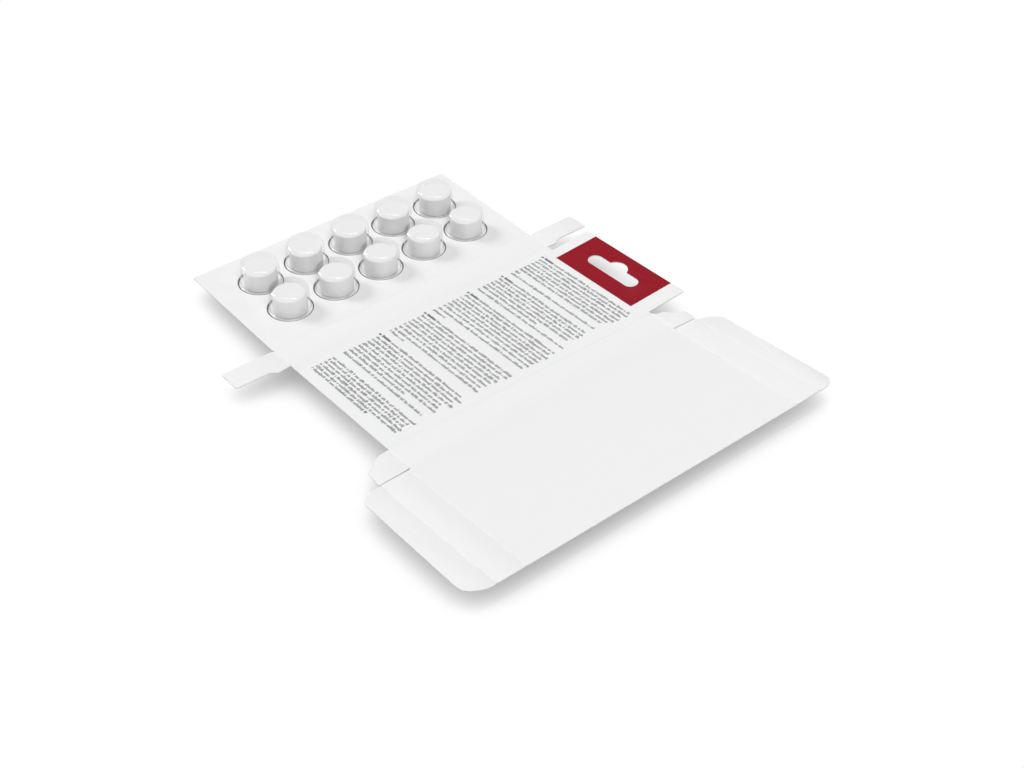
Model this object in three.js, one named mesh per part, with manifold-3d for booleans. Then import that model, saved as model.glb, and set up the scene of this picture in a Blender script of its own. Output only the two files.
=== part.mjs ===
// A folding carton of ten round tablets, opened out flat with its inside face up.
// One card blank is cut and creased into five panels, a hang tab, dust flaps and tuck closures.
// A clear thermoformed tray stands up through ten holes of the first panel, sealed below by foil.
// Millimetres, +Z up, +X towards the hang tab, +Y towards the tray. The foil lies on z = 0.
import * as THREE from 'three';
import { mergeVertices } from 'three/addons/utils/BufferGeometryUtils.js';
import Module from 'manifold-3d';

const wasm = await Module();
wasm.setup();

// layers, from the underside up
const foilThickness = 0.15;
const filmThickness = 0.3;
const cardThickness = 0.45;
const cardBottom = foilThickness + filmThickness;
const cardTop = cardBottom + cardThickness;

// the closed box: its length between the end flaps, its height and its depth
const boxLength = 147.75;
const boxHeight = 75.6;
const boxDepth = 15.5;

// the front panel E spans the box's height, and the panels that lie inside it a little less
const backShort = 1.75;
const trayShort = 5.5;
const wallShort = 0.35;
const trayPanel = boxHeight - trayShort;
const topWall = boxDepth - wallShort;
const backPanel = boxHeight - backShort;
const bottomWall = boxDepth + wallShort;
const frontPanel = boxHeight;

// how far the panels spring up from the level one
const degrees = Math.PI / 180;
const wallTilt = 2.6;
const frontTilt = 4.6;
const tabTilt = 3.6;

// fold lines, as distances along the flat blank from the middle of the part
const tiltedSpan = (topWall + backPanel + bottomWall) * Math.cos(wallTilt * degrees)
  + frontPanel * Math.cos(frontTilt * degrees);
const farEdge = (trayPanel + tiltedSpan) / 2;
const foldAB = farEdge - trayPanel;
const foldBC = foldAB - topWall;
const foldCD = foldBC - backPanel;
const foldDE = foldCD - bottomWall;
const nearEdge = foldDE - frontPanel;

// crease beads on the inside face
const beadHeight = 0.16;
const beadWidth = 1.3;

// panel ends across the blank, with the small steps between neighbouring panels
const leftEdge = -73.3;
const rightEdge = leftEdge + boxLength;
const trayStep = 0.4;
const frontStepLeft = 0.8;
const frontStepRight = 0.15;
const wallStep = 0.15;
const cornerRun = 0.5;

// end flaps: the gap that stands for a crease, and how far each flap reaches out from its crease
const creaseGap = 0.3;
const dustReachB = { left: 26.9, right: 26.2 };
const dustReachD = { left: 15.7, right: 13.1 };
const closureReach = { left: 14.2, right: 13.2 };
const tongueReach = { left: 12.2, right: 10.0 };

// hang tab and its slot
const tabLength = 22.75;
const tabTop = rightEdge + tabLength;
const tabRoot = 0.8;
const tabFar = foldBC - 4.45;
const tabNear = foldCD + 1.0;
const slotX = rightEdge + 9.75;
const slotY = 2.2;
const slotLength = 32.4;
const slotWidth = 7.4;
const slotBump = 6.1;
const slotRise = 7.6;

// tray, cavities and tablets
const columns = 5;
const rows = 2;
const cavityPitch = 25.75;
const gridShiftX = 1.2;
const gridShiftY = 0.3;
const gridX = (leftEdge + rightEdge) / 2 + gridShiftX;
const gridY = (farEdge + foldAB) / 2 + gridShiftY;
const tabletRadius = 8.05;
const tabletHeight = 9.6;
const tabletBevel = 0.8;
const tabletPlay = 1.75;
const cavityRadius = tabletRadius + tabletPlay + filmThickness;
const holeRadius = cavityRadius + 1.1;
const cavityHeight = 11.85;
const cavityDraft = 0.35;
const cavityShoulder = 1.5;
const cavityFoot = 0.6;
const flangeMargin = 19;
const flangeCorner = 4;
const roundSteps = 32;

// cutters reach well past the part
const cutBelow = -boxDepth;
const cutAbove = 3 * boxDepth;

const materials = {
  card: { color: 0xf3f3f4, roughness: 0.62, metalness: 0.0 },
  film: { color: 0xe8edf0, roughness: 0.12, metalness: 0.0, transparent: true, opacity: 0.35 },
  foil: { color: 0xc9cbce, roughness: 0.35, metalness: 1.0 },
  tablet: { color: 0xf2f1ee, roughness: 0.85, metalness: 0.0 },
};

function named(name, kind, geometry) {
  const mesh = new THREE.Mesh(geometry, new THREE.MeshStandardMaterial(materials[kind]));
  mesh.name = name;
  return mesh;
}

function solidOf(geometry) {
  const bare = new THREE.BufferGeometry();
  bare.setAttribute('position', geometry.getAttribute('position').clone());
  if (geometry.index) {
    bare.setIndex(geometry.index.clone());
  }
  const merged = mergeVertices(bare, 1e-5);
  return new wasm.Manifold(new wasm.Mesh({
    numProp: 3,
    vertProperties: new Float32Array(merged.getAttribute('position').array),
    triVerts: new Uint32Array(merged.index.array),
  }));
}

function geometryOf(solid) {
  const mesh = solid.getMesh();
  const geometry = new THREE.BufferGeometry();
  const points = new Float32Array(mesh.vertProperties);
  geometry.setAttribute('position', new THREE.BufferAttribute(points, 3));
  geometry.setIndex(new THREE.BufferAttribute(new Uint32Array(mesh.triVerts), 1));
  geometry.computeVertexNormals();
  return geometry;
}

// a flat plate from an outline, from z = low up to z = high
function plate(points, low, high, holes = []) {
  const shape = new THREE.Shape(points.map(([x, y]) => new THREE.Vector2(x, y)));
  for (const hole of holes) {
    shape.holes.push(hole);
  }
  const geometry = new THREE.ExtrudeGeometry(shape, {
    depth: high - low,
    bevelEnabled: false,
    curveSegments: 12,
  });
  geometry.translate(0, 0, low);
  return geometry;
}

// the blank's distance v and a height over the card's underside, as y and z of the folded card
function folded(v, height = 0) {
  let y = v;
  let z = cardBottom;
  let tilt = 0;
  if (v < foldAB) {
    tilt = wallTilt * degrees;
    const run = foldAB - Math.max(v, foldDE);
    y = foldAB - run * Math.cos(tilt);
    z = cardBottom + run * Math.sin(tilt);
  }
  if (v < foldDE) {
    tilt = frontTilt * degrees;
    y -= (foldDE - v) * Math.cos(tilt);
    z += (foldDE - v) * Math.sin(tilt);
  }
  return [y + height * Math.sin(tilt), z + height * Math.cos(tilt)];
}

// the card's cross-section: one thickness along the folds, with a bead at each crease
function cardProfile() {
  const past = beadWidth;
  const stops = [farEdge + past, foldAB, foldBC, foldCD, foldDE, nearEdge - past];
  const under = stops.map((v) => folded(v));
  const over = [folded(farEdge + past, cardThickness)];
  for (const v of [foldAB, foldBC, foldCD, foldDE]) {
    over.push(folded(v + beadWidth / 2, cardThickness));
    over.push(folded(v + beadWidth / 5, cardThickness + beadHeight));
    over.push(folded(v - beadWidth / 5, cardThickness + beadHeight));
    over.push(folded(v - beadWidth / 2, cardThickness));
  }
  over.push(folded(nearEdge - past, cardThickness));
  return [...over, ...under.reverse()];
}

function cavityCentres() {
  const centres = [];
  for (let row = 0; row < rows; row += 1) {
    for (let column = 0; column < columns; column += 1) {
      centres.push([
        gridX + (column - (columns - 1) / 2) * cavityPitch,
        gridY + (row - (rows - 1) / 2) * cavityPitch,
      ]);
    }
  }
  return centres;
}

// a solid turned about a vertical axis, from [radius, height] steps that start and end on the axis
function turned(profile, x = 0, y = 0) {
  const points = profile.map(([r, h]) => new THREE.Vector2(r, h));
  const geometry = new THREE.LatheGeometry(points, roundSteps);
  geometry.rotateX(Math.PI / 2);
  geometry.translate(x, y, 0);
  return geometry;
}

// the blank, seen from above, without its flaps
function blankOutline() {
  const trayLeft = leftEdge - trayStep;
  const frontLeft = leftEdge - frontStepLeft;
  const frontRight = rightEdge - frontStepRight;
  const flat = [
    [trayLeft, farEdge], [trayLeft, foldAB + cornerRun], [leftEdge, foldAB - cornerRun],
    [leftEdge, foldDE], [frontLeft, foldDE - cornerRun], [frontLeft, nearEdge],
    [frontRight, nearEdge], [frontRight, foldDE - cornerRun], [rightEdge + wallStep, foldDE],
    [rightEdge + wallStep, foldCD], [rightEdge, tabNear], [rightEdge, foldAB - cornerRun],
    [rightEdge - trayStep, foldAB + cornerRun], [rightEdge, farEdge],
  ];
  return flat.map(([x, v]) => [x, folded(v)[0]]);
}

// the peg-hook slot: a long round-ended opening with a round rise at its middle
function slotOutline() {
  const points = [];
  const half = slotWidth / 2;
  const run = slotLength / 2 - half;
  const steps = 8;
  for (let i = 0; i <= steps; i += 1) {
    const a = Math.PI * (1 + i / steps);
    points.push([slotX + half * Math.cos(a), slotY - run + half * Math.sin(a)]);
  }
  const centreX = slotX + slotRise - slotBump;
  const reach = Math.acos((half - slotRise + slotBump) / slotBump);
  for (let i = 0; i <= 2 * steps; i += 1) {
    const a = -reach + (2 * reach * i) / (2 * steps);
    points.push([centreX + slotBump * Math.cos(a), slotY + slotBump * Math.sin(a)]);
  }
  for (let i = 0; i <= steps; i += 1) {
    const a = Math.PI * (i / steps);
    points.push([slotX + half * Math.cos(a), slotY + run + half * Math.sin(a)]);
  }
  return points;
}

function slotSolid() {
  return solidOf(plate(slotOutline(), cutBelow, cutAbove));
}

// the hang tab is one with panel C: it springs up about the panel's end
function tabSolid() {
  const root = rightEdge - tabRoot;
  const outline = [
    [root, tabNear], [tabTop, tabNear], [tabTop, tabFar], [root, tabFar],
  ];
  const geometry = plate(outline, -cardThickness, 0);
  geometry.translate(-root, 0, 0);
  geometry.rotateY(-tabTilt * degrees);
  geometry.translate(root, -foldBC, 0);
  geometry.rotateX(-wallTilt * degrees);
  const [y, z] = folded(foldBC, cardThickness);
  geometry.translate(0, y, z);
  return solidOf(geometry);
}

function carton() {
  const section = new THREE.Shape(cardProfile().map(([y, z]) => new THREE.Vector2(y, z)));
  const overrun = boxDepth;
  const length = boxLength + 2 * overrun;
  const sheet = new THREE.ExtrudeGeometry(section, { depth: length, bevelEnabled: false });
  // the section's own x and y become the object's y and z, and its depth runs along x
  sheet.applyMatrix4(new THREE.Matrix4().makeBasis(
    new THREE.Vector3(0, 1, 0),
    new THREE.Vector3(0, 0, 1),
    new THREE.Vector3(1, 0, 0),
  ));
  sheet.translate(leftEdge - overrun, 0, 0);
  const cutter = solidOf(plate(blankOutline(), cutBelow, cutAbove));
  let solid = solidOf(sheet).intersect(cutter);
  solid = solid.add(tabSolid());
  solid = solid.subtract(slotSolid());
  for (const [x, y] of cavityCentres()) {
    const drill = [
      [0, cutBelow], [holeRadius, cutBelow], [holeRadius, cutAbove], [0, cutAbove],
    ];
    solid = solid.subtract(solidOf(turned(drill, x, y)));
  }
  return named('carton', 'card', geometryOf(solid));
}

// cavity wall: a flared foot, a straight draft, then a rounded shoulder and a flat crown
// inset 0 gives the outside, and the film's thickness gives the inside of the same wall
function cavityProfile(inset, floor) {
  const top = cardBottom + cavityHeight - inset;
  const wall = cavityRadius - inset;
  const waist = wall - cavityDraft;
  const shoulder = cavityShoulder - inset;
  const mitre = inset * Math.tan(Math.PI / 8);
  const flare = cavityRadius + cavityFoot - mitre;
  const profile = [
    [0, floor], [flare, floor], [flare, cardBottom - inset],
    [wall, cardBottom + cavityFoot - mitre],
  ];
  const steps = 4;
  for (let i = 0; i <= steps; i += 1) {
    const a = (90 * degrees * i) / steps;
    profile.push([
      waist - shoulder + shoulder * Math.cos(a),
      top - shoulder + shoulder * Math.sin(a),
    ]);
  }
  profile.push([0, top]);
  return profile;
}

function roundedRectangle(x, y, length, width, corner) {
  const points = [];
  const places = [[1, -1, -90], [1, 1, 0], [-1, 1, 90], [-1, -1, 180]];
  for (const [sx, sy, from] of places) {
    for (let i = 0; i <= 5; i += 1) {
      const a = (from + 18 * i) * degrees;
      points.push([
        x + sx * (length / 2 - corner) + corner * Math.cos(a),
        y + sy * (width / 2 - corner) + corner * Math.sin(a),
      ]);
    }
  }
  return points;
}

// the flat rim around the cavities keeps one margin past the outer cavities' centres
function flange() {
  const length = (columns - 1) * cavityPitch + 2 * flangeMargin;
  const width = (rows - 1) * cavityPitch + 2 * flangeMargin;
  return roundedRectangle(gridX, gridY, length, width, flangeCorner);
}

function tray() {
  let solid = solidOf(plate(flange(), foilThickness, cardBottom));
  for (const [x, y] of cavityCentres()) {
    solid = solid.add(solidOf(turned(cavityProfile(0, foilThickness), x, y)));
  }
  for (const [x, y] of cavityCentres()) {
    solid = solid.subtract(solidOf(turned(cavityProfile(filmThickness, cutBelow), x, y)));
  }
  return named('blister_tray', 'film', geometryOf(solid));
}

function foil() {
  return named('lidding_foil', 'foil', plate(flange(), 0, foilThickness));
}

function tablet(index, x, y) {
  const flat = tabletRadius - tabletBevel;
  const profile = [
    [0, foilThickness], [flat, foilThickness], [tabletRadius, foilThickness + tabletBevel],
    [tabletRadius, foilThickness + tabletHeight - tabletBevel],
    [flat, foilThickness + tabletHeight], [0, foilThickness + tabletHeight],
  ];
  const geometry = turned(profile, x, y);
  return named(`tablet_${String(index + 1).padStart(2, '0')}`, 'tablet', geometry);
}

// a flap drawn on the blank in [x, v], lying in the plane of its wall or of the front panel
function flap(name, outline, fold, tilt) {
  const points = outline.map(([x, v]) => [x, v - fold]);
  const geometry = plate(points, -cardThickness, 0);
  geometry.rotateX(-tilt * degrees);
  const [y, z] = folded(fold, cardThickness);
  geometry.translate(0, y, z);
  return named(name, 'card', geometry);
}

// corners as shares: first of the reach out from the crease, then of the span along the crease
const dustShapeB = {
  left: [[0, 0.934], [0.097, 0.98], [1, 0.98], [1, 0.142], [0.364, 0.142], [0.253, -0.01], [0, 0.023]],
  right: [
    [0, 0.815], [0.088, 0.888], [1, 0.888], [1, 0.109], [0.363, 0.109],
    [0.279, 0.069], [0.202, -0.05], [0, -0.036],
  ],
};
const dustShapeD = {
  left: [
    [0, 0.031], [0.312, 0.063], [0.452, 0.114], [0.592, 0.252],
    [0.701, 0.334], [0.943, 0.398], [1, 1.016], [0, 0.984],
  ],
  right: [
    [0, 0.038], [0.13, 0.158], [0.389, 0.208], [0.573, 0.423],
    [0.748, 0.505], [1, 0.58], [0.977, 1.035], [0, 0.984],
  ],
};
const closureShape = {
  left: [[0, 0.005], [1, 0.015], [1, 0.999], [0, 1]],
  right: [[0, 0.005], [1, 0.019], [1, 0.998], [0, 1]],
};
const tongueShape = {
  left: [
    [0, 0.014], [0.344, 0.014], [0.533, 0.022], [0.689, 0.035], [0.82, 0.052], [0.918, 0.073],
    [1, 0.883], [0.959, 0.923], [0.787, 0.956], [0.484, 0.986], [0.221, 0.999], [0, 1],
  ],
  right: [
    [0, 0.023], [0.07, 0.034], [0.24, 0.039], [0.54, 0.056], [0.82, 0.089], [0.95, 0.121],
    [1, 0.946], [0.86, 0.973], [0.59, 0.995], [0.29, 1], [0, 1],
  ],
};

// where each flap's crease runs, on the walls and on the front panel
const dustCrease = { left: leftEdge - creaseGap, right: rightEdge + wallStep + creaseGap };
const closureCrease = {
  left: leftEdge - frontStepLeft - creaseGap,
  right: rightEdge - frontStepRight + creaseGap,
};
const outward = { left: -1, right: 1 };

function placed(shape, end, crease, reach, fold, span) {
  return shape[end].map(([out, along]) => [
    crease + outward[end] * out * reach[end],
    fold + along * span,
  ]);
}

function endFlaps(end) {
  const tongueCrease = closureCrease[end] + outward[end] * (closureReach[end] + creaseGap);
  const flapB = placed(dustShapeB, end, dustCrease[end], dustReachB, foldBC, topWall);
  const flapD = placed(dustShapeD, end, dustCrease[end], dustReachD, foldCD, -bottomWall);
  const closure = placed(
    closureShape, end, closureCrease[end], closureReach, foldDE, -frontPanel,
  );
  const tongue = placed(tongueShape, end, tongueCrease, tongueReach, foldDE, -frontPanel);
  return [
    flap(`dust_flap_b_${end}`, flapB, foldBC, wallTilt),
    flap(`dust_flap_d_${end}`, flapD, foldBC, wallTilt),
    flap(`closure_${end}`, closure, foldDE, frontTilt),
    flap(`tuck_tongue_${end}`, tongue, foldDE, frontTilt),
  ];
}

const model = new THREE.Group();
model.add(carton());
model.add(tray());
model.add(foil());
cavityCentres().forEach(([x, y], index) => model.add(tablet(index, x, y)));
for (const end of ['left', 'right']) {
  model.add(...endFlaps(end));
}

export default model;
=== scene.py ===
# Opened-out carton of cleaning tablets, inside face up, on a pale sweep of floor.
import math
import random

import bmesh
import bpy
from mathutils import Matrix, Vector


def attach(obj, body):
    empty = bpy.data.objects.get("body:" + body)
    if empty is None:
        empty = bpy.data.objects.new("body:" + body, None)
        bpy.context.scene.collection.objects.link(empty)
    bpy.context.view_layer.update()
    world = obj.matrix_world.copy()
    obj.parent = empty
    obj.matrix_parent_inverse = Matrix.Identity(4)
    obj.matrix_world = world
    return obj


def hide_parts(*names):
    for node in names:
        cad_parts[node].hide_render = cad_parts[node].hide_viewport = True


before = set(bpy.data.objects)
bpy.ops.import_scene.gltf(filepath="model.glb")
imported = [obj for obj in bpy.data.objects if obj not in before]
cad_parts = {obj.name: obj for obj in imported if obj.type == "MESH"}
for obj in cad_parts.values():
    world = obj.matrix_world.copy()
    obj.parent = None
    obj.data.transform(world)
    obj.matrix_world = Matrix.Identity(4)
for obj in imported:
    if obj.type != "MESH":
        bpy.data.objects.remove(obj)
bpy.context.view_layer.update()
print("frame loaded")

mm = 0.001
deg = math.pi / 180


def hexColour(text):
    # sRGB hex to linear
    parts = []
    for i in (0, 2, 4):
        c = int(text[i:i + 2], 16) / 255
        parts.append(c / 12.92 if c <= 0.04045 else ((c + 0.055) / 1.055) ** 2.4)
    return (*parts, 1.0)


def addNode(tree, kind, settings=None, links=None):
    node = tree.nodes.new(kind)
    for key, value in (settings or {}).items():
        if key in node.inputs:
            node.inputs[key].default_value = value
        else:
            setattr(node, key, value)
    for key, source in (links or {}).items():
        tree.links.new(source, node.inputs[key])
    return node


def newMaterial(name):
    material = bpy.data.materials.new(name)
    material.use_nodes = True
    tree = material.node_tree
    tree.nodes.clear()
    output = tree.nodes.new("ShaderNodeOutputMaterial")
    return material, tree, output


def grainScale(size):
    # the noise scale that gives features of this size in millimetres
    return 1 / (size * mm)


def flatFill(loops, name):
    # a flat mesh in x and y bounded by the outer loop, with the others as holes
    curve = bpy.data.curves.new(name + "Outline", "CURVE")
    curve.dimensions = "2D"
    curve.fill_mode = "BOTH"
    for loop in loops:
        spline = curve.splines.new("POLY")
        spline.points.add(len(loop) - 1)
        for point, (x, y) in zip(spline.points, loop):
            point.co = (x, y, 0, 1)
        spline.use_cyclic_u = True
    holder = bpy.data.objects.new(name + "Outline", curve)
    bpy.context.collection.objects.link(holder)
    bpy.context.view_layer.update()
    shape = holder.evaluated_get(bpy.context.evaluated_depsgraph_get())
    mesh = bpy.data.meshes.new_from_object(shape)
    bpy.data.objects.remove(holder)
    bpy.data.curves.remove(curve)
    mesh.name = name
    build = bmesh.new()
    build.from_mesh(mesh)
    bmesh.ops.remove_doubles(build, verts=build.verts, dist=1e-4)
    faceUp(build)
    return mesh, build


def faceUp(build):
    # all normals one way, towards the inside of the pack
    bmesh.ops.recalc_face_normals(build, faces=build.faces)
    if sum(face.normal.z * face.calc_area() for face in build.faces) < 0:
        bmesh.ops.reverse_faces(build, faces=build.faces)


def cutLine(build, axis, value):
    normal = (1, 0, 0) if axis == "x" else (0, 1, 0)
    centre = (value, 0, 0) if axis == "x" else (0, value, 0)
    bmesh.ops.bisect_plane(build, geom=build.verts[:] + build.edges[:] + build.faces[:],
                           plane_co=centre, plane_no=normal, dist=1e-5)


def smoothShade(mesh, sharpAngle):
    for face in mesh.polygons:
        face.use_smooth = True
    mesh.set_sharp_from_angle(angle=sharpAngle * deg)


def finishMesh(piece, sharpAngle):
    # the modifiers are applied, so that the piece is one plain mesh
    bpy.context.view_layer.update()
    shape = piece.evaluated_get(bpy.context.evaluated_depsgraph_get())
    mesh = bpy.data.meshes.new_from_object(shape)
    piece.modifiers.clear()
    old = piece.data
    piece.data = mesh
    bpy.data.meshes.remove(old)
    mesh.name = piece.name
    smoothShade(mesh, sharpAngle)


def addPiece(name, mesh, materials):
    piece = bpy.data.objects.new(name, mesh)
    bpy.context.collection.objects.link(piece)
    for material in materials:
        piece.data.materials.append(material)
    return piece


def meshPiece(name, build, materials):
    mesh = bpy.data.meshes.new(name)
    build.to_mesh(mesh)
    build.free()
    return addPiece(name, mesh, materials)


def rounded(points, radius):
    # the outline with each corner rounded, by less where its sides are short
    cornerShare = 0.45
    smallest = 0.05
    steps = 4
    loop = []
    for i, point in enumerate(points):
        here = Vector(point)
        before = Vector(points[i - 1]) - here
        after = Vector(points[(i + 1) % len(points)]) - here
        reach = min(radius, before.length * cornerShare, after.length * cornerShare)
        if reach < smallest:
            loop.append(tuple(here))
            continue
        a = here + before.normalized() * reach
        b = here + after.normalized() * reach
        for step in range(steps + 1):
            t = step / steps
            loop.append(tuple(a * (1 - t) ** 2 + here * 2 * t * (1 - t) + b * t ** 2))
    return loop


def circleLoop(x, y, radius, steps):
    return [(x + radius * math.cos(2 * math.pi * i / steps),
             y + radius * math.sin(2 * math.pi * i / steps)) for i in range(steps)]


def arcLoop(x, y, radius, start, turn, steps):
    angles = [start + turn * i / steps for i in range(steps + 1)]
    return [(x + radius * math.cos(a), y + radius * math.sin(a)) for a in angles]


def ringWalls(build, rings, x, y, steps):
    # walls of revolution through the radius and height pairs
    layers = [[build.verts.new((px, py, height)) for px, py in circleLoop(x, y, radius, steps)]
              for radius, height in rings]
    for low, high in zip(layers, layers[1:]):
        for i in range(steps):
            j = (i + 1) % steps
            build.faces.new((low[i], low[j], high[j], high[i]))
    return layers


# the board, in millimetres along its flat length; folds A to E run from the tray panel down
blank = {
    "thickness": 0.45,
    "underside": 0.45,                      # height of the level panel, on the tray's rim
    "edgeRound": 0.06,
    "cornerRound": 0.35,
    "flapCornerRound": 0.8,
    "farEdge": 125.1,
    "nearEdge": -125.45,
    "foldAB": 55.0,
    "foldBC": 39.85,
    "foldCD": -34.0,
    "foldDE": -49.85,
    "wallTilt": 2.6,                        # degrees, of the two walls and the back panel
    "frontTilt": 4.6,
    "trayLeft": -73.7,
    "trayRight": 74.4,
    "leftRoot": -73.45,                     # fold lines of the dust flaps
    "rightRoot": 74.75,
    "closureLeft": -74.25,                  # fold lines of the closures
    "closureRight": 74.45,
    "tuckLeft": -88.75,                     # fold lines of the tongues
    "tuckRight": 87.95,
    "tabRoot": 73.65,
    "tabEnd": 97.25,
    "tabNear": -33.0,
    "tabFar": 35.4,
    "tabPlay": 0.4,                         # the tilted part reaches this far past the tab
    "tabTilt": 3.6,
    "holeRadius": 11.0,
    "holeSteps": 96,
    "holeShift": (-0.2, -0.2),              # the holes sit a little off the cavities
    "sheetHex": "F1F1F2",
    "coreHex": "D3D1CC",
    "coreLightHex": "E6E4E0",
    "redHex": "8C0419",
    "redAcross": (71.5, 98.0),
    "redAlong": (-24.2, 29.2),
}

# the pressed fold between two panels: a low bead, as shares of its half width and its height
foldBead = {
    "height": 0.2,
    "half": 0.62,
    "profile": ((-1.0, 0.0), (-0.55, 0.55), (-0.2, 0.96), (0.2, 0.96), (0.55, 0.55), (1.0, 0.0)),
}

pegHole = {
    "x": 84.2,
    "y": 2.2,
    "length": 32.4,
    "width": 7.4,
    "riseRadius": 6.1,                      # the round rise that centres the hook
    "rise": 7.6,
    "soften": 0.4,
}


def coatedBoard():
    # clay-coated folding boxboard: bleached fibre, blade-coated and calendered, so it is
    # nearly even with a soft sheen; only a faint cloudiness of the fibre shows through
    mottle = 0.012
    roughness = 0.55
    material, tree, output = newMaterial("clayCoatedBoard")
    place = addNode(tree, "ShaderNodeTexCoord")
    cloud = addNode(tree, "ShaderNodeTexNoise", {"Scale": grainScale(8.333), "Detail": 3.0},
                    {"Vector": place.outputs["Object"]})
    base = hexColour(blank["sheetHex"])
    colour = addNode(tree, "ShaderNodeMix", {"data_type": "RGBA"}, {"Factor": cloud.outputs["Fac"]})
    colour.inputs["A"].default_value = base
    colour.inputs["B"].default_value = tuple(c * (1 - mottle) for c in base[:3]) + (1.0,)
    # the calendered coating keeps a grain of about 0.3 mm
    grain = addNode(tree, "ShaderNodeTexNoise", {"Scale": grainScale(0.3125), "Detail": 2.0},
                    {"Vector": place.outputs["Object"]})
    bump = addNode(tree, "ShaderNodeBump", {"Strength": 0.06, "Distance": 0.00004},
                   {"Height": grain.outputs["Fac"]})
    rough = addNode(tree, "ShaderNodeMapRange",
                    {"To Min": roughness - 0.05, "To Max": roughness + 0.05},
                    {"Value": cloud.outputs["Fac"]})
    board = addNode(tree, "ShaderNodeBsdfPrincipled", {"IOR": 1.5, "Specular IOR Level": 0.35},
                    {"Base Color": colour.outputs["Result"], "Roughness": rough.outputs["Result"],
                     "Normal": bump.outputs["Normal"]})
    tree.links.new(board.outputs["BSDF"], output.inputs["Surface"])
    return material


def greyFibreEdge():
    # the cut edge of the board: open mechanical pulp, duller and a little greyer than the coating
    material, tree, output = newMaterial("cutBoardEdge")
    place = addNode(tree, "ShaderNodeTexCoord")
    ply = addNode(tree, "ShaderNodeTexNoise", {"Scale": grainScale(0.2), "Detail": 2.0},
                  {"Vector": place.outputs["Object"]})
    colour = addNode(tree, "ShaderNodeMix", {"data_type": "RGBA"}, {"Factor": ply.outputs["Fac"]})
    colour.inputs["A"].default_value = hexColour(blank["coreHex"])
    colour.inputs["B"].default_value = hexColour(blank["coreLightHex"])
    pulp = addNode(tree, "ShaderNodeBsdfPrincipled", {"Roughness": 0.85, "IOR": 1.5},
                   {"Base Color": colour.outputs["Result"]})
    tree.links.new(pulp.outputs["BSDF"], output.inputs["Surface"])
    return material


def offsetInk(name, inkHex, roughness, gloss):
    # thin offset-printed ink on coated board, with a break-up of about 1 mm in the solid
    material, tree, output = newMaterial(name)
    place = addNode(tree, "ShaderNodeTexCoord")
    breakUp = addNode(tree, "ShaderNodeTexNoise", {"Scale": grainScale(1.111), "Detail": 2.0},
                      {"Vector": place.outputs["Object"]})
    base = hexColour(inkHex)
    colour = addNode(tree, "ShaderNodeMix", {"data_type": "RGBA"}, {"Factor": breakUp.outputs["Fac"]})
    colour.inputs["A"].default_value = base
    colour.inputs["B"].default_value = tuple(min(1.0, c * 1.12 + 0.004) for c in base[:3]) + (1.0,)
    ink = addNode(tree, "ShaderNodeBsdfPrincipled",
                  {"Roughness": roughness, "IOR": 1.5, "Specular IOR Level": gloss},
                  {"Base Color": colour.outputs["Result"]})
    tree.links.new(ink.outputs["BSDF"], output.inputs["Surface"])
    return material


boardFace = coatedBoard()
boardEdge = greyFibreEdge()
redInk = offsetInk("redOffsetInk", blank["redHex"], 0.5, 0.1)
# the slots of a card piece; the thickness of a red face would take the number after its ink
faceSlot, edgeSlot, inkSlot, inkEdgeSlot = range(4)


def folded(x, v, height=0.0):
    # a point of the flat blank, in millimetres, carried to its place on the folded card
    tilt = 0.0
    y = v
    z = blank["underside"]
    if v < blank["foldAB"]:
        tilt = blank["wallTilt"] * deg
        run = blank["foldAB"] - max(v, blank["foldDE"])
        y = blank["foldAB"] - run * math.cos(tilt)
        z += run * math.sin(tilt)
    if v < blank["foldDE"]:
        tilt = blank["frontTilt"] * deg
        y -= (blank["foldDE"] - v) * math.cos(tilt)
        z += (blank["foldDE"] - v) * math.sin(tilt)
    onTab = blank["tabNear"] - blank["tabPlay"] < v < blank["tabFar"] + blank["tabPlay"]
    if x > blank["tabRoot"] and onTab:
        run = x - blank["tabRoot"]
        rise = blank["tabTilt"] * deg
        x = blank["tabRoot"] + run * math.cos(rise) - height * math.sin(rise)
        height = height * math.cos(rise) + run * math.sin(rise)
    return Vector((x, y + height * math.sin(tilt), z + height * math.cos(tilt))) * mm


def beadLift(v, creases):
    # how far the pressed folds raise the inside face at this place along the blank
    lift = 0.0
    half = foldBead["half"]
    for crease in creases:
        off = (v - crease) / half
        for (a, low), (b, high) in zip(foldBead["profile"], foldBead["profile"][1:]):
            if a - 1e-4 <= off <= b + 1e-4:
                lift = max(lift, low + (high - low) * (off - a) / (b - a))
    return lift * foldBead["height"]


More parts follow.
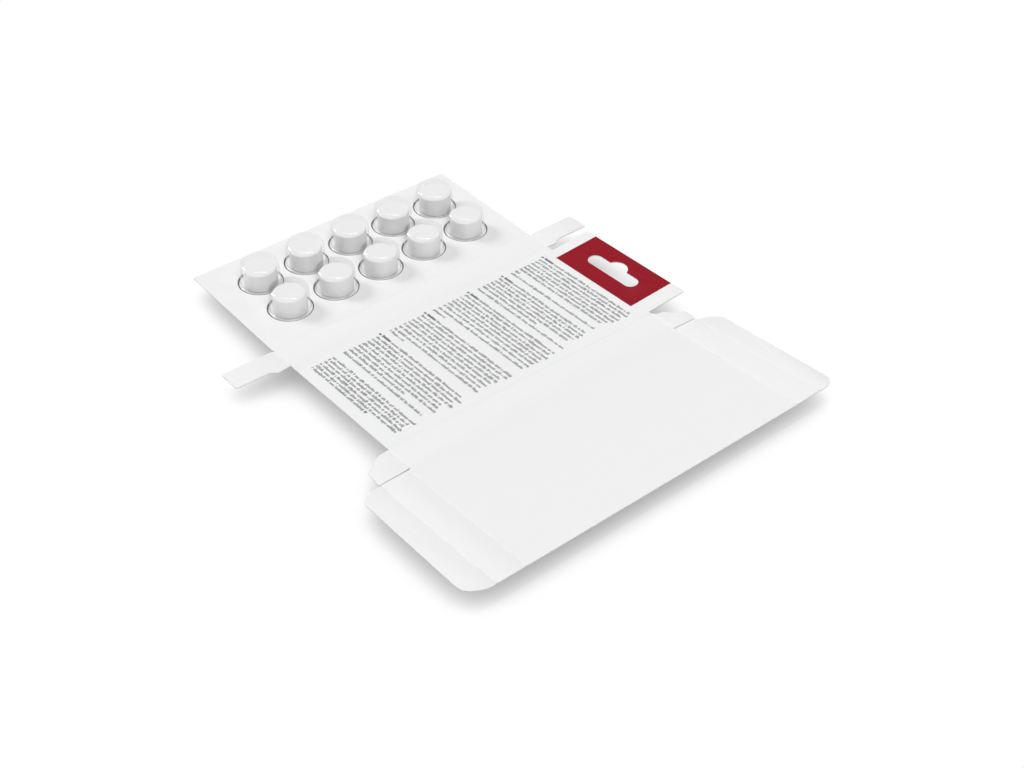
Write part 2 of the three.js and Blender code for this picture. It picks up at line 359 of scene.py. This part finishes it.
def cardPiece(name, loops, creases=(), red=False):
    mesh, build = flatFill(loops, name)
    for crease in creases:
        for share, _ in foldBead["profile"]:
            cutLine(build, "y", crease + share * foldBead["half"])
    redLeft, redRight = blank["redAcross"]
    redNear, redFar = blank["redAlong"]
    if red:
        cutLine(build, "x", blank["tabRoot"])
        cutLine(build, "x", redLeft)
        cutLine(build, "y", redNear)
        cutLine(build, "y", redFar)
    for face in build.faces:
        centre = face.calc_center_median()
        inside = redLeft < centre.x < redRight and redNear < centre.y < redFar
        face.material_index = inkSlot if red and inside else faceSlot
    for vert in build.verts:
        x, v = vert.co.x, vert.co.y
        vert.co = folded(x, v, blank["thickness"] + beadLift(v, creases))
    build.to_mesh(mesh)
    build.free()
    piece = addPiece(name, mesh, (boardFace, boardEdge, redInk))
    solid = piece.modifiers.new("boardThickness", "SOLIDIFY")
    solid.thickness = blank["thickness"] * mm
    solid.offset = -1
    solid.material_offset_rim = 1
    solid.use_even_offset = True
    edge = piece.modifiers.new("softCutEdge", "BEVEL")
    edge.width = blank["edgeRound"] * mm
    edge.segments = 2
    edge.limit_method = "ANGLE"
    edge.angle_limit = 50 * deg
    finishMesh(piece, 35)
    for face in piece.data.polygons:
        if face.material_index == inkSlot and face.normal.z < 0.3:
            face.material_index = faceSlot              # under the red field the board is plain
        if face.material_index == inkEdgeSlot:
            face.material_index = edgeSlot
    return piece


# the tray, one drawn film with ten cavities; the card's holes follow its pattern
tray = {
    "pitch": 25.75,
    "centre": (1.775, 90.35),
    "columns": 5,
    "rows": 2,
    "footRadius": 9.65,
    "footFillet": 0.7,
    "draft": 0.35,
    "shoulder": 1.4,
    "height": 11.85,
    "crownRise": 0.03,                      # the crown bellies out by this much, and a third more
    "film": 0.25,
    "flangeTop": 0.45,
    "flangeMargin": 19.0,
    "flangeCorner": 4.0,
    "steps": 64,
    "foilHex": "ECECED",
    # the rim's dark grey is partly painted shade of the narrow gap round each hole, not only the welded
    # foil's own tone
    "sealPaintedShadeHex": "6C6D6F",                    # the rim, where the film is welded to the foil
    "sealPaintedShadeLightHex": "7C7D7F",
    "tintHex": "FDFDFD",
    "roughness": 0.08,
    "faceOn": 0.06,                         # share mirrored when seen face on
    "glancing": 0.65,
    "glancePower": 4.0,
    "insideShare": 0.3,                     # how much of that the side towards the tablet mirrors
    "backShare": 0.4,                       # and a skin seen from within the film
}


def cavityCentres():
    x, y = tray["centre"]
    return [(x + (column - (tray["columns"] - 1) / 2) * tray["pitch"],
             y + (row - (tray["rows"] - 1) / 2) * tray["pitch"])
            for row in range(tray["rows"]) for column in range(tray["columns"])]


def pegSlot():
    # the long round-ended slot of a peg hook, with its round rise towards the end of the tab
    x, y = pegHole["x"], pegHole["y"]
    half = pegHole["width"] / 2
    run = pegHole["length"] / 2 - half
    radius = pegHole["riseRadius"]
    reach = math.acos((half - pegHole["rise"] + radius) / radius)
    loop = arcLoop(x, y - run, half, math.pi, math.pi, 16)
    loop += arcLoop(x + pegHole["rise"] - radius, y, radius, -reach, 2 * reach, 24)
    loop += arcLoop(x, y + run, half, 0, math.pi, 16)
    return rounded(loop, pegHole["soften"])


def sheetOutline():
    # round the blank from the far left corner, with the small steps of the die at each fold
    leftRoot, rightRoot = blank["leftRoot"], blank["rightRoot"]
    closureLeft, closureRight = blank["closureLeft"], blank["closureRight"]
    far, near = blank["farEdge"], blank["nearEdge"]
    foldAB, foldCD, foldDE = blank["foldAB"], blank["foldCD"], blank["foldDE"]
    return rounded([
        (blank["trayLeft"], far), (blank["trayLeft"], foldAB + 0.5), (leftRoot, foldAB - 0.6),
        (leftRoot, foldCD - 0.2), (leftRoot, foldDE + 0.15),
        (closureLeft, foldDE - 0.25), (closureLeft, near),
        (closureRight, near), (closureRight, foldDE - 0.25),
        (rightRoot, foldDE + 0.15), (rightRoot, foldCD - 0.4),
        (rightRoot + 0.15, blank["tabNear"]), (blank["tabEnd"], blank["tabNear"]),
        (blank["tabEnd"], blank["tabFar"]), (rightRoot - 0.15, blank["tabFar"]),
        (rightRoot - 0.15, blank["foldBC"] - 0.95), (rightRoot, blank["foldBC"] - 0.45),
        (rightRoot, foldAB - 2.7), (blank["trayRight"] + 0.05, foldAB - 1.0),
        (blank["trayRight"], far),
    ], blank["cornerRound"])


shiftX, shiftY = blank["holeShift"]
holes = [circleLoop(x + shiftX, y + shiftY, blank["holeRadius"], blank["holeSteps"])
         for x, y in cavityCentres()]
panelFolds = (blank["foldAB"], blank["foldBC"], blank["foldCD"], blank["foldDE"])
sheet = cardPiece("cartonBlank", [sheetOutline(), pegSlot()] + holes, panelFolds, red=True)
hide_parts("carton")
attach(sheet, "sheet")

# each point of a flap is its reach beyond the fold line and its place along the blank
flaps = {
    "dust_flap_b_left": {"root": "leftRoot", "points": [
        (0, 54.1), (2.75, 54.7), (27.05, 54.7), (27.05, 42.0), (9.95, 42.0), (6.95, 39.7), (0, 40.2)]},
    "dust_flap_b_right": {"root": "rightRoot", "points": [
        (0, 52.2), (2.45, 53.3), (26.35, 53.3), (26.35, 41.5), (9.65, 41.5), (7.45, 40.9),
        (5.45, 39.1), (0, 39.4)]},
    "dust_flap_d_left": {"root": "leftRoot", "points": [
        (0, -34.5), (5.05, -35.0), (7.25, -35.8), (9.45, -38.0), (11.15, -39.3), (14.95, -40.3),
        (15.85, -50.1), (0, -49.6)]},
    "dust_flap_d_right": {"root": "rightRoot", "points": [
        (0, -34.6), (1.85, -36.5), (5.25, -37.3), (7.65, -40.7), (9.95, -42.0), (13.25, -43.2),
        (12.95, -50.3), (0, -49.6)]},
    "closure_left": {"root": "closureLeft", "points": [
        (0, -50.2), (14.5, -50.5), (14.5, -125.4), (0, -125.45)]},
    "closure_right": {"root": "closureRight", "points": [
        (0, -50.2), (13.5, -51.2), (13.5, -125.3), (0, -125.45)]},
    "tuck_tongue_left": {"root": "tuckLeft", "points": [
        (0, -50.9), (4.35, -50.9), (6.65, -51.5), (8.55, -52.5), (10.15, -53.8), (11.35, -55.4),
        (12.35, -116.6), (11.85, -119.6), (9.75, -122.1), (6.05, -124.4), (2.85, -125.4), (0, -125.5)]},
    "tuck_tongue_right": {"root": "tuckRight", "points": [
        (0, -51.6), (0.85, -52.4), (2.55, -52.8), (5.55, -54.1), (8.35, -56.6), (9.65, -59.0),
        (10.15, -121.4), (8.75, -123.4), (6.05, -125.1), (3.05, -125.5), (0, -125.5)]},
}
for name, flap in flaps.items():
    root = blank[flap["root"]]
    outwards = math.copysign(1, root)
    outline = [(root + outwards * reach, v) for reach, v in flap["points"]]
    card = cardPiece(name.title().replace("_", "") + "Card", [rounded(outline, blank["flapCornerRound"])])
    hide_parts(name)
    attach(card, name)
print("card pieces made")

# the raised score line that a flap folds on: where it runs, and what it rides on
flapBead = {
    "radius": 0.3,
    "sunk": 0.12,                           # below the inside face
    "steps": 16,
    "runs": {
        "creaseBLeft": ("leftRoot", 53.8, 40.5, "sheet"),
        "creaseBRight": ("rightRoot", 52.0, 39.8, "sheet"),
        "creaseDLeft": ("leftRoot", -34.9, -49.3, "sheet"),
        "creaseDRight": ("rightRoot", -35.0, -49.3, "sheet"),
        "creaseELeft": ("closureLeft", -50.6, -125.1, "sheet"),
        "creaseERight": ("closureRight", -50.6, -125.1, "sheet"),
        "creaseTuckLeft": ("tuckLeft", -59.5, -115.8, "closure_left"),
        "creaseTuckRight": ("tuckRight", -60.5, -116.0, "closure_right"),
    },
}


def creaseBead(name, x, start, end, body):
    height = blank["thickness"] - flapBead["sunk"]
    a = folded(x, start, height)
    b = folded(x, end, height)
    radius = flapBead["radius"] * mm
    build = bmesh.new()
    bmesh.ops.create_cone(build, cap_ends=True, segments=flapBead["steps"], radius1=radius,
                          radius2=radius, depth=(b - a).length)
    spin = (b - a).to_track_quat("Z", "Y").to_matrix().to_4x4()
    build.transform(Matrix.Translation((a + b) / 2) @ spin)
    bead = meshPiece(name, build, (boardFace,))
    smoothShade(bead.data, 40)
    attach(bead, body)


for name, (root, start, end, body) in flapBead["runs"].items():
    creaseBead(name, blank[root], start, end, body)
print("crease beads made")

# the print on the inside of the back panel: plain rows of small blocks, no lettering
inkPrint = {
    "hex": "4E4F52",
    "boldHex": "1F2022",
    "top": 33.1,                            # where every line starts, along the blank
    "lineLength": (60.0, 63.2),
    "baseDrop": 0.62,                       # from a line's middle to its base
    "stroke": 0.42,
    "strokeRange": (0.8, 1.5),
    "gap": 0.297,                           # between two blocks, and between two words
    "wordGap": 0.75,
    "wordLengths": (1, 2, 3, 4, 5, 6, 7, 8, 9, 11),
    "lowLetter": 0.95,
    "tallLetter": 1.45,
    "tallShare": 0.35,
    "tail": 0.3,                            # how far some blocks reach below the line
    "tailShare": 0.1,
    "lastWord": 1.5,                        # no word starts closer than this to a line's end
    "lift": 0.012,
    "sunk": 0.01,
}

# the bold blocks that open a paragraph, by height, where 0 leaves a gap
boldStart = {
    "heights": (1.0, 1.0, 0, 1.6, 1.2, 1.2, 1.2, 1.5, 1.2, 1.2, 1.2),
    "stroke": 0.62,
    "pitch": 0.78,
    "before": 1.2,
    "after": 0.9,
}

# each paragraph's lines by their middles across the panel, and the lengths of its short lines
paragraphs = [
    {"lines": (66.95, 64.5, 62.1, 59.6, 57.1, 54.7, 52.2, 49.4, 46.9), "short": {7: 5}, "bold": True},
    {"lines": (41.8, 39.4, 37.0, 34.6, 32.1, 29.6, 26.6), "short": {5: 40}, "bold": True},
    {"lines": (21.2, 18.8, 16.2, 13.8, 11.4, 9.0, 6.4, 3.4, 0.6), "short": {8: 9}, "bold": True},
    {"lines": (-4.0, -6.4, -8.9, -11.4, -13.8, -16.4, -18.9, -21.8, -24.4), "short": {8: 10},
     "bold": True},
    {"lines": (-29.4, -31.9, -34.3, -36.7, -39.2, -41.7, -44.2, -46.7, -49.7), "short": {7: 42},
     "bold": True},
    {"lines": (-55.6, -57.9, -60.1, -62.4, -64.6, -66.8), "short": {5: 42}, "bold": False},
]

textInk = offsetInk("greyOffsetInk", inkPrint["hex"], 0.6, 0.2)
boldInk = offsetInk("blackOffsetInk", inkPrint["boldHex"], 0.6, 0.2)


def inkBlock(build, x, v, wide, tall, slot):
    # one closed tile on the card; x runs up the blocks and v along the line
    corners = []
    for height in (blank["thickness"] - inkPrint["sunk"], blank["thickness"] + inkPrint["lift"]):
        for dx, dv in ((0, 0), (tall, 0), (tall, -wide), (0, -wide)):
            corners.append(build.verts.new(folded(x + dx, v + dv, height)))
    for order in ((4, 5, 6, 7), (0, 3, 2, 1), (0, 1, 5, 4), (1, 2, 6, 5), (2, 3, 7, 6), (3, 0, 4, 7)):
        face = build.faces.new([corners[i] for i in order])
        face.material_index = slot


def boldBlocks(build, base, v):
    v += boldStart["before"]
    for tall in boldStart["heights"]:
        if tall:
            inkBlock(build, base, v, boldStart["stroke"], tall, 1)
        v -= boldStart["pitch"]
    return v - boldStart["after"]


def wordBlocks(build, chance, base, v, end):
    for _ in range(chance.choice(inkPrint["wordLengths"])):
        if v < end:
            break
        tall = inkPrint["lowLetter"]
        if chance.random() < inkPrint["tallShare"]:
            tall = inkPrint["tallLetter"]
        wide = inkPrint["stroke"] * chance.uniform(*inkPrint["strokeRange"])
        drop = inkPrint["tail"] if chance.random() < inkPrint["tailShare"] else 0.0
        inkBlock(build, base - drop, v, wide, tall + drop, 0)
        v -= wide + inkPrint["gap"]
    return v - inkPrint["wordGap"]


def insidePrint():
    chance = random.Random(11)
    build = bmesh.new()
    for paragraph in paragraphs:
        for row, x in enumerate(paragraph["lines"]):
            base = x - inkPrint["baseDrop"]
            v = inkPrint["top"]
            fullLength = chance.uniform(*inkPrint["lineLength"])
            end = v - paragraph["short"].get(row, fullLength)
            if paragraph["bold"] and row == 0:
                v = boldBlocks(build, base, v)
            while v > end + inkPrint["lastWord"]:
                v = wordBlocks(build, chance, base, v, end)
    bmesh.ops.recalc_face_normals(build, faces=build.faces)
    rows = meshPiece("insidePrintRows", build, (textInk, boldInk))
    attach(rows, "sheet")


insidePrint()
print("print made")


def clearFilm(name, share):
    # thermoformed PVC film: light goes almost straight through it, and its skins mirror a little
    # of it face on and more towards the glancing edge; the drawing leaves it rippled
    material, tree, output = newMaterial(name)
    place = addNode(tree, "ShaderNodeTexCoord")
    ripple = addNode(tree, "ShaderNodeTexNoise", {"Scale": grainScale(3.846), "Detail": 1.0},
                     {"Vector": place.outputs["Object"]})
    bump = addNode(tree, "ShaderNodeBump", {"Strength": 0.1, "Distance": 0.0002},
                   {"Height": ripple.outputs["Fac"]})
    glance = addNode(tree, "ShaderNodeLayerWeight", {"Blend": 0.5})
    steep = addNode(tree, "ShaderNodeMath", {"operation": "POWER"})
    tree.links.new(glance.outputs["Facing"], steep.inputs[0])
    steep.inputs[1].default_value = tray["glancePower"]
    mirror = addNode(tree, "ShaderNodeMapRange",
                     {"To Min": tray["faceOn"] * share, "To Max": tray["glancing"] * share},
                     {"Value": steep.outputs[0]})
    through = addNode(tree, "ShaderNodeBsdfTransparent", {"Color": hexColour(tray["tintHex"])})
    gloss = addNode(tree, "ShaderNodeBsdfGlossy",
                    {"Color": (1, 1, 1, 1), "Roughness": tray["roughness"]},
                    {"Normal": bump.outputs["Normal"]})
    # weaker where a skin is seen from within, which keeps a white glare off the far walls
    side = addNode(tree, "ShaderNodeNewGeometry")
    kept = addNode(tree, "ShaderNodeMapRange", {"To Min": 1.0, "To Max": tray["backShare"]},
                   {"Value": side.outputs["Backfacing"]})
    amount = addNode(tree, "ShaderNodeMath", {"operation": "MULTIPLY"})
    tree.links.new(mirror.outputs["Result"], amount.inputs[0])
    tree.links.new(kept.outputs["Result"], amount.inputs[1])
    mix = addNode(tree, "ShaderNodeMixShader", {}, {"Fac": amount.outputs[0]})
    tree.links.new(through.outputs["BSDF"], mix.inputs[1])
    tree.links.new(gloss.outputs["BSDF"], mix.inputs[2])
    # so thin a film keeps next to no light from the tablets inside
    ray = addNode(tree, "ShaderNodeLightPath")
    passing = addNode(tree, "ShaderNodeMath", {"operation": "MAXIMUM"})
    tree.links.new(ray.outputs["Is Shadow Ray"], passing.inputs[0])
    tree.links.new(ray.outputs["Is Diffuse Ray"], passing.inputs[1])
    clear = addNode(tree, "ShaderNodeBsdfTransparent", {"Color": (1, 1, 1, 1)})
    skin = addNode(tree, "ShaderNodeMixShader", {}, {"Fac": passing.outputs[0]})
    tree.links.new(mix.outputs["Shader"], skin.inputs[1])
    tree.links.new(clear.outputs["BSDF"], skin.inputs[2])
    tree.links.new(skin.outputs["Shader"], output.inputs["Surface"])
    return material


def paintedShadeRim():
    # the tray's flat rim: clear film melted onto the foil, so the foil shows through it duller; its dark
    # grey is partly painted shade, standing in for the shade in the narrow gap between each hole's edge in
    # the card and the cavity's foot
    material, tree, output = newMaterial("weldedRimPaintedShade")
    place = addNode(tree, "ShaderNodeTexCoord")
    haze = addNode(tree, "ShaderNodeTexNoise", {"Scale": grainScale(1.4286), "Detail": 2.0},
                   {"Vector": place.outputs["Object"]})
    colour = addNode(tree, "ShaderNodeMix", {"data_type": "RGBA"}, {"Factor": haze.outputs["Fac"]})
    colour.inputs["A"].default_value = hexColour(tray["sealPaintedShadeHex"])
    colour.inputs["B"].default_value = hexColour(tray["sealPaintedShadeLightHex"])
    rim = addNode(tree, "ShaderNodeBsdfPrincipled",
                  {"Metallic": 0.3, "Roughness": 0.5, "IOR": 1.54, "Specular IOR Level": 0.2},
                  {"Base Color": colour.outputs["Result"]})
    tree.links.new(rim.outputs["BSDF"], output.inputs["Surface"])
    return material


def sealedFoil():
    # aluminium lidding foil, rolled to a soft mirror, with a waffle as a sealing plate leaves it;
    # at this scale one cell of it is about 6 mm
    waffleScale = 50.0
    material, tree, output = newMaterial("heatSealedFoil")
    place = addNode(tree, "ShaderNodeTexCoord")
    turn = addNode(tree, "ShaderNodeMapping", {"Rotation": (0, 0, 45 * deg)},
                   {"Vector": place.outputs["Object"]})
    waves = []
    for direction in ("X", "Y"):
        waves.append(addNode(tree, "ShaderNodeTexWave",
                             {"bands_direction": direction, "Scale": waffleScale},
                             {"Vector": turn.outputs["Vector"]}))
    grid = addNode(tree, "ShaderNodeMath", {"operation": "MULTIPLY"})
    tree.links.new(waves[0].outputs["Fac"], grid.inputs[0])
    tree.links.new(waves[1].outputs["Fac"], grid.inputs[1])
    bump = addNode(tree, "ShaderNodeBump", {"Strength": 0.5, "Distance": 0.0001},
                   {"Height": grid.outputs[0]})
    foil = addNode(tree, "ShaderNodeBsdfPrincipled",
                   {"Base Color": hexColour(tray["foilHex"]), "Metallic": 1.0, "Roughness": 0.4},
                   {"Normal": bump.outputs["Normal"]})
    tree.links.new(foil.outputs["BSDF"], output.inputs["Surface"])
    return material


filmClear = clearFilm("thermoformedClearFilm", 1.0)
filmInside = clearFilm("clearFilmInside", tray["insideShare"])
paintedShadeRimFilm = paintedShadeRim()
foilSilver = sealedFoil()


def cavityRings():
    # radius and height pairs from the flange up to the crown
    foot = tray["footRadius"]
    fillet = tray["footFillet"]
    flange = tray["flangeTop"]
    waist = foot - tray["draft"]
    shoulder = tray["shoulder"]
    top = flange + tray["height"]
    rings = arcLoop(foot + fillet, flange + fillet, fillet, -math.pi / 2, -math.pi / 2, 4)
    rings += arcLoop(waist - shoulder, top - shoulder, shoulder, 0, math.pi / 2, 8)
    rings.append(((waist - shoulder) / 2, top + tray["crownRise"]))
    return rings


def blisterTray():
    x, y = tray["centre"]
    halfLength = (tray["columns"] - 1) * tray["pitch"] / 2 + tray["flangeMargin"]
    halfWidth = (tray["rows"] - 1) * tray["pitch"] / 2 + tray["flangeMargin"]
    corners = [(x + halfLength, y - halfWidth), (x + halfLength, y + halfWidth),
               (x - halfLength, y + halfWidth), (x - halfLength, y - halfWidth)]
    steps = tray["steps"]
    rings = cavityRings()
    loops = [rounded(corners, tray["flangeCorner"])]
    loops += [circleLoop(cx, cy, rings[0][0], steps) for cx, cy in cavityCentres()]
    mesh, build = flatFill(loops, "blisterTrayFilm")
    for vert in build.verts:
        vert.co.z = tray["flangeTop"]
    # the flat rim takes the dark grey rim material, partly painted shade of the gap round each hole
    for face in build.faces:
        face.material_index = 1
    for cx, cy in cavityCentres():
        crest = ringWalls(build, rings, cx, cy, steps)[-1]
        crown = build.verts.new((cx, cy, rings[-1][1] + tray["crownRise"] / 3))
        for i in range(steps):
            build.faces.new((crest[i], crest[(i + 1) % steps], crown))
    bmesh.ops.remove_doubles(build, verts=build.verts, dist=1e-3)
    faceUp(build)
    build.transform(Matrix.Scale(mm, 4))
    build.to_mesh(mesh)
    build.free()
    piece = addPiece("blisterTrayFilm", mesh, (filmClear, paintedShadeRimFilm, filmInside, paintedShadeRimFilm))
    wall = piece.modifiers.new("filmThickness", "SOLIDIFY")
    wall.thickness = tray["film"] * mm
    wall.offset = -1
    wall.use_even_offset = True
    wall.material_offset = 2                # the inner skin takes the second pair of materials
    finishMesh(piece, 40)
    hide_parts("blister_tray")
    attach(piece, "sheet")


blisterTray()
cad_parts["lidding_foil"].data.materials.clear()
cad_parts["lidding_foil"].data.materials.append(foilSilver)
print("tray made")

tablet = {
    "radius": 8.05,
    "height": 9.6,
    "bevel": 0.75,
    "bevelSteps": 5,
    "faceInset": 0.5,
    "steps": 72,
    "seat": 0.16,
    "play": 0.15,
    "settled": (-0.25, -0.65),              # every tablet has slid a little the same way
    "hex": "F2F2F2",
    "blotchHex": "EDEDED",
}


def pressedPowder():
    # tablet pressed from white powder: dead matt, with crystals of 0.1 to 0.4 mm at its skin
    material, tree, output = newMaterial("pressedWhitePowder")
    place = addNode(tree, "ShaderNodeTexCoord")
    crystals = addNode(tree, "ShaderNodeTexNoise",
                       {"Scale": grainScale(0.3846), "Detail": 4.0, "Roughness": 0.65},
                       {"Vector": place.outputs["Object"]})
    blotch = addNode(tree, "ShaderNodeTexNoise", {"Scale": grainScale(2.381), "Detail": 2.0},
                     {"Vector": place.outputs["Object"]})
    colour = addNode(tree, "ShaderNodeMix", {"data_type": "RGBA"}, {"Factor": blotch.outputs["Fac"]})
    colour.inputs["A"].default_value = hexColour(tablet["hex"])
    colour.inputs["B"].default_value = hexColour(tablet["blotchHex"])
    bump = addNode(tree, "ShaderNodeBump", {"Strength": 0.35, "Distance": 0.00012},
                   {"Height": crystals.outputs["Fac"]})
    powder = addNode(tree, "ShaderNodeBsdfPrincipled",
                     {"Roughness": 0.9, "IOR": 1.5, "Specular IOR Level": 0.2},
                     {"Base Color": colour.outputs["Result"], "Normal": bump.outputs["Normal"]})
    tree.links.new(powder.outputs["BSDF"], output.inputs["Surface"])
    return material


powderWhite = pressedPowder()


def tabletRings():
    bevel = tablet["bevel"]
    height = tablet["height"]
    inner = tablet["radius"] - bevel
    steps = tablet["bevelSteps"]
    rings = [(inner - tablet["faceInset"], 0.0)]
    rings += arcLoop(inner, bevel, bevel, -math.pi / 2, math.pi / 2, steps)
    rings += arcLoop(inner, height - bevel, bevel, 0, math.pi / 2, steps)
    rings.append((inner - tablet["faceInset"], height))
    return rings


def pressedTablet(name, node, x, y, spin):
    build = bmesh.new()
    layers = ringWalls(build, tabletRings(), 0, 0, tablet["steps"])
    build.faces.new(list(reversed(layers[0])))
    build.faces.new(layers[-1])
    bmesh.ops.remove_doubles(build, verts=build.verts, dist=1e-4)
    build.transform(Matrix.Scale(mm, 4))
    piece = meshPiece(name, build, (powderWhite,))
    piece.location = Vector((x, y, tablet["seat"])) * mm
    piece.rotation_euler = (0, 0, spin)
    smoothShade(piece.data, 40)
    bpy.context.view_layer.update()
    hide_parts(node)
    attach(piece, "sheet")


chance = random.Random(5)
for number, (x, y) in enumerate(cavityCentres(), start=1):
    lean = [slid + chance.uniform(-tablet["play"], tablet["play"]) for slid in tablet["settled"]]
    spin = chance.uniform(0, 6.28)
    pressedTablet(f"pressedTablet{number:02d}", f"tablet_{number:02d}", x + lean[0], y + lean[1], spin)
print("tablets made")

lighting = {
    "ambient": 0.37,                        # sky light on the object
    "mirrored": 1.0,                        # sky as the gloss sees it
    # heading is the direction the light comes from, in degrees from +X towards +Y
    # level is the share of a white level surface's brightness that the lamp gives
    "lamps": {
        "keySun": {"heading": 119, "height": 37, "level": 0.21, "spread": 22},
        "topSun": {"heading": 170, "height": 84, "level": 0.18, "spread": 40},
        "fillSun": {"heading": -92, "height": 50, "level": 0.23, "spread": 30},
    },
    "floorHex": "F4F4F4",
    "floorHalf": 3000,
    "floorGap": 10.0,                       # millimetres under the sheet, all the way along
    "floorReach": 0.15,                     # metres over which the sheet shades the floor
    "floorShade": 0.27,                     # brightness where nothing of the sky reaches it
    "floorClear": 0.74,                     # share of open sky at which it turns white
}


def paleFloorPaint():
    # matt white paint to the other pieces; the camera sees a shade taken from the sky that each
    # spot is open to, which leaves one soft shadow under the sheet
    material, tree, output = newMaterial("paleSeamlessFloor")
    openSky = addNode(tree, "ShaderNodeAmbientOcclusion",
                      {"samples": 16, "Distance": lighting["floorReach"]})
    shade = addNode(tree, "ShaderNodeMapRange",
                    {"From Max": lighting["floorClear"], "To Min": lighting["floorShade"]},
                    {"Value": openSky.outputs["AO"]})
    seen = addNode(tree, "ShaderNodeEmission", {"Color": (1, 1, 1, 1)},
                   {"Strength": shade.outputs["Result"]})
    paint = addNode(tree, "ShaderNodeBsdfDiffuse", {"Color": hexColour(lighting["floorHex"])})
    ray = addNode(tree, "ShaderNodeLightPath")
    direct = addNode(tree, "ShaderNodeMath", {"operation": "MAXIMUM"})
    tree.links.new(ray.outputs["Is Camera Ray"], direct.inputs[0])
    tree.links.new(ray.outputs["Is Glossy Ray"], direct.inputs[1])
    looked = addNode(tree, "ShaderNodeMath", {"operation": "MAXIMUM"})
    tree.links.new(direct.outputs[0], looked.inputs[0])
    tree.links.new(ray.outputs["Is Transmission Ray"], looked.inputs[1])
    mix = addNode(tree, "ShaderNodeMixShader", {}, {"Fac": looked.outputs[0]})
    tree.links.new(paint.outputs["BSDF"], mix.inputs[1])
    tree.links.new(seen.outputs["Emission"], mix.inputs[2])
    tree.links.new(mix.outputs["Shader"], output.inputs["Surface"])
    return material


def paleFloor():
    # a sweep whose height follows the underside of the sheet
    half = lighting["floorHalf"] * mm
    spots = [folded(0, v) for v in (blank["farEdge"], blank["foldAB"], blank["foldDE"], blank["nearEdge"])]
    rows = [(spot.y, spot.z - lighting["floorGap"] * mm) for spot in spots]
    rows = [(half, rows[0][1])] + rows + [(-half, rows[-1][1])]
    build = bmesh.new()
    line = [[build.verts.new((x, y, z)) for x in (-half, half)] for y, z in rows]
    for (a, b), (c, d) in zip(line, line[1:]):
        build.faces.new((a, c, d, b))
    floor = meshPiece("studioFloor", build, (paleFloorPaint(),))


def studioWorld():
    world = bpy.data.worlds.new("studioWorld")
    world.use_nodes = True
    bpy.context.scene.world = world
    tree = world.node_tree
    tree.nodes.clear()
    output = tree.nodes.new("ShaderNodeOutputWorld")
    ray = addNode(tree, "ShaderNodeLightPath")
    mirrored = addNode(tree, "ShaderNodeMapRange",
                       {"To Min": lighting["ambient"], "To Max": lighting["mirrored"]},
                       {"Value": ray.outputs["Is Glossy Ray"]})
    strength = addNode(tree, "ShaderNodeMapRange", {"To Max": 1.0},
                       {"Value": ray.outputs["Is Camera Ray"], "To Min": mirrored.outputs["Result"]})
    sky = addNode(tree, "ShaderNodeBackground", {"Color": (1, 1, 1, 1)},
                  {"Strength": strength.outputs["Result"]})
    tree.links.new(sky.outputs["Background"], output.inputs["Surface"])


def addSun(name, heading, height, level, spread):
    data = bpy.data.lights.new(name, "SUN")
    data.energy = level * math.pi / math.sin(height * deg)
    data.angle = spread * deg
    lamp = bpy.data.objects.new(name, data)
    lamp.rotation_euler = ((90 - height) * deg, 0, (90 + heading) * deg)
    bpy.context.collection.objects.link(lamp)


photoCamera = {
    "place": (-330.57, -426.31, 436.75),    # millimetres
    "lookAt": (-3.32, -29.08, 0.0),
    "roll": 0.65,                           # degrees
    "lens": 53.94,                          # millimetres, on a sensor 36 mm wide
    "sensor": 36.0,
    "nearest": 10.0,
}


def addCamera():
    data = bpy.data.cameras.new("photoCamera")
    data.lens = photoCamera["lens"]
    data.sensor_width = photoCamera["sensor"]
    data.clip_start = photoCamera["nearest"] * mm
    camera = bpy.data.objects.new("photoCamera", data)
    bpy.context.collection.objects.link(camera)
    place = Vector(photoCamera["place"])
    look = Vector(photoCamera["lookAt"]) - place
    aim = look.to_track_quat("-Z", "Y").to_matrix().to_4x4()
    roll = Matrix.Rotation(photoCamera["roll"] * deg, 4, "Z")
    camera.matrix_world = Matrix.Translation(place * mm) @ aim @ roll
    bpy.context.scene.camera = camera


addCamera()
paleFloor()
studioWorld()
for name, lamp in lighting["lamps"].items():
    addSun(name, **lamp)
bpy.context.scene.view_settings.view_transform = "Standard"
print("stage set")
